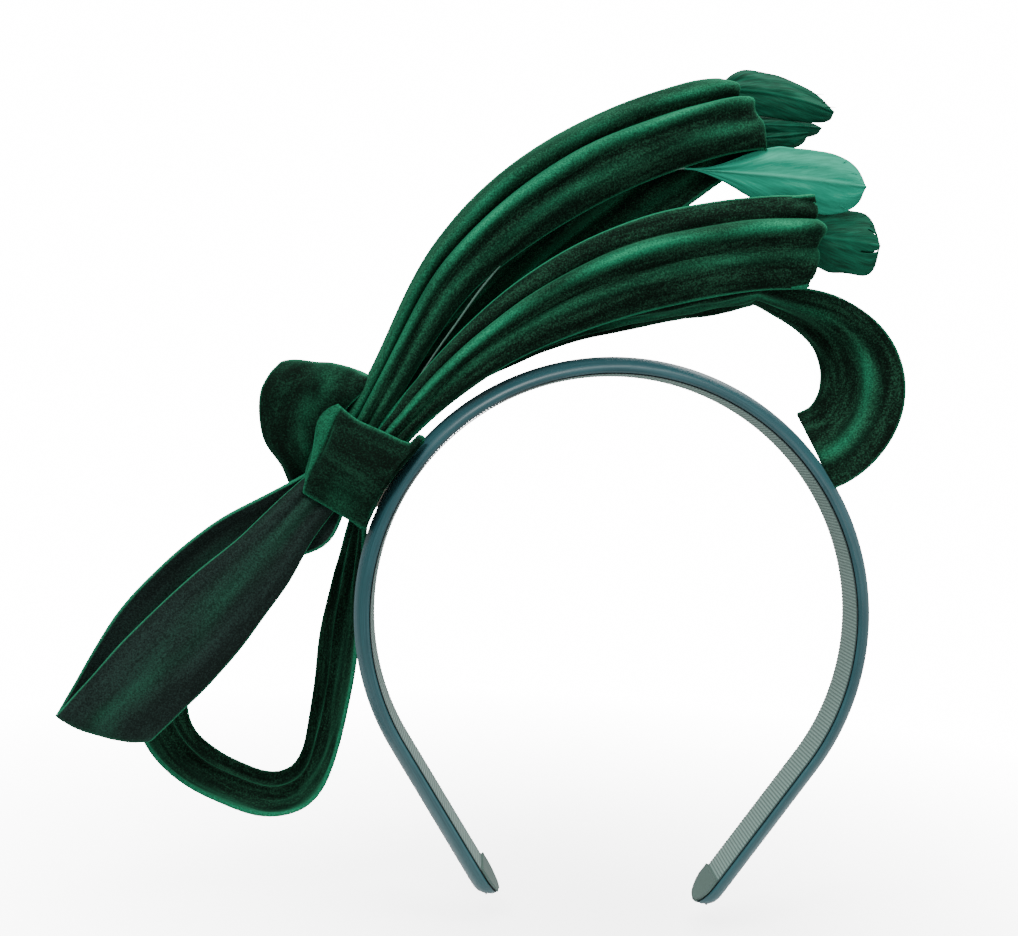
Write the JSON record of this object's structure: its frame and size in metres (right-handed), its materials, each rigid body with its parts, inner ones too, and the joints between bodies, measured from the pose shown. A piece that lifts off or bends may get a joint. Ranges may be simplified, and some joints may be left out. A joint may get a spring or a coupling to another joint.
{
  "type": "knotted headband",
  "caption": "Satin-covered alice band with a knotted velvet ribbon bow and feathers, worn over the head.",
  "frame": {"origin": "centre of the hoop's inner arc, halfway across the band's width", "axes": "+Z to the crown, the knot on the -X side, +-Y across the band's width, the seen side to -Y"},
  "size_m": [0.2206, 0.0353, 0.2239],
  "materials": {
    "teal_satin": "soft satin",
    "grosgrain": "ribbed, matte",
    "core_plastic": "moulded",
    "glue": "dried adhesive",
    "thread": "matte",
    "green_velvet": "velvet pile",
    "feather_vane": "feather",
    "feather_quill": "smooth"
  },
  "bodies": {
    "crown": {"binding_thread": "thread", "crown_core": "core_plastic", "crown_grosgrain_lining": "grosgrain", "crown_satin_cover": "teal_satin", "curl_tail": "green_velvet", "fold_over_loop": "green_velvet", "hanging_loop": "green_velvet", "knot_glue_pad": "glue", "knot_wrap": "green_velvet", "large_feather_quill": "feather_quill", "large_feather_vane": "feather_vane", "leaf_loop": "green_velvet", "lower_dark_feather_quill": "feather_quill", "lower_dark_feather_vane": "feather_vane", "lower_loop": "green_velvet", "lower_loop_feather_quill": "feather_quill", "lower_loop_feather_vane": "feather_vane", "ribbon_gather": "green_velvet", "small_feather_quill": "feather_quill", "small_feather_vane": "feather_vane", "upper_dark_feather_quill": "feather_quill", "upper_dark_feather_vane": "feather_vane", "upper_loop": "green_velvet"},
    "left_arm": {"left_arm_core": "core_plastic", "left_arm_grosgrain_lining": "grosgrain", "left_arm_satin_cover": "teal_satin", "left_tip_tab": "teal_satin"},
    "right_arm": {"right_arm_core": "core_plastic", "right_arm_grosgrain_lining": "grosgrain", "right_arm_satin_cover": "teal_satin", "right_tip_tab": "teal_satin"}
  },
  "joints": [
    {"name": "left_arm_flex", "type": "hinge", "parent": "crown", "child": "left_arm", "pos_m": [-0.06428, 0, 0.01722], "axis": [0, 1, 0], "range_deg": [-3, 14], "stiffness_Nm_per_rad": 0.7},
    {"name": "right_arm_flex", "type": "hinge", "parent": "crown", "child": "right_arm", "pos_m": [0.06428, 0, 0.01722], "axis": [0, -1, 0], "range_deg": [-3, 14], "stiffness_Nm_per_rad": 0.7}
  ]
}
